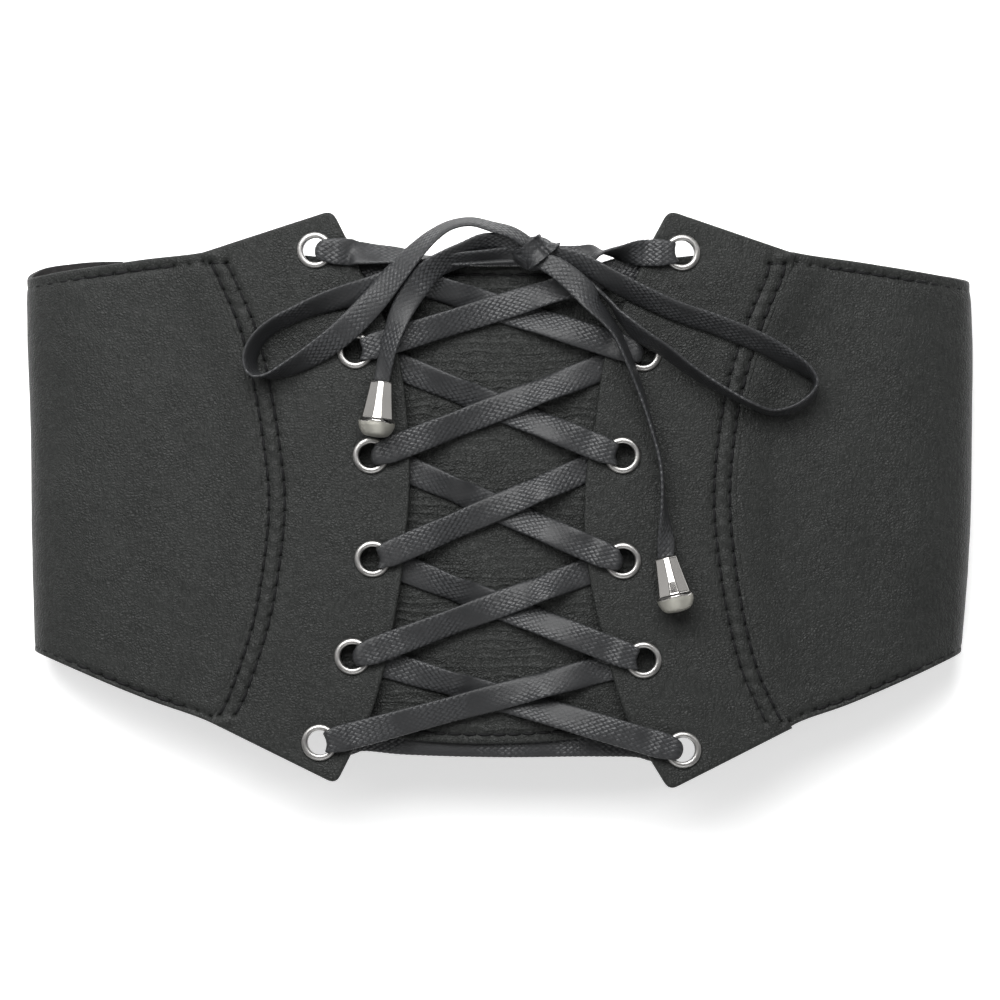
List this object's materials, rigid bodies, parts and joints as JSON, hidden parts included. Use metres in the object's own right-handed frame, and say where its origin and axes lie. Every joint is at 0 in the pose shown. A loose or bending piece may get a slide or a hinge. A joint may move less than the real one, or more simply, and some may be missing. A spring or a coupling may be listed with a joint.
{
  "type": "wide lace-up belt",
  "caption": "Wide leather-look waist belt: eyelet flaps laced over a front panel, side panels folded round to an elastic back, bow with metal cord ends; lies flat on its back.",
  "frame": {"origin": "on the surface that the belt lies on, under the middle of its box without the bow's loops, tails and cord ends", "axes": "+X to the viewer's right along the belt's width, +Y towards the belt's top edge, +Z out of its front"},
  "size_m": [0.2986, 0.1788, 0.0486],
  "materials": {
    "leather": "black faux leather, fine pebble grain, satin",
    "elastic": "black ribbed elastic webbing, matt",
    "lace": "charcoal flat braid, lightly waxed",
    "eyelet_metal": "satin nickel plate",
    "bell_metal": "polished dark nickel plate"
  },
  "bodies": {
    "root": {"flap_left": "leather", "flap_right": "leather", "side_left": "leather", "side_right": "leather", "modesty_panel": "leather", "back_band": "elastic", "eyelet_left_1": "eyelet_metal", "eyelet_left_2": "eyelet_metal", "eyelet_left_3": "eyelet_metal", "eyelet_left_4": "eyelet_metal", "eyelet_left_5": "eyelet_metal", "eyelet_left_6": "eyelet_metal", "eyelet_right_1": "eyelet_metal", "eyelet_right_2": "eyelet_metal", "eyelet_right_3": "eyelet_metal", "eyelet_right_4": "eyelet_metal", "eyelet_right_5": "eyelet_metal", "eyelet_right_6": "eyelet_metal", "lacing": "lace", "knot": "lace", "loop_left": "lace", "loop_right": "lace", "tail_left": "lace", "tail_right": "lace", "bell_left": "bell_metal", "bell_right": "bell_metal"}
  },
  "joints": []
}
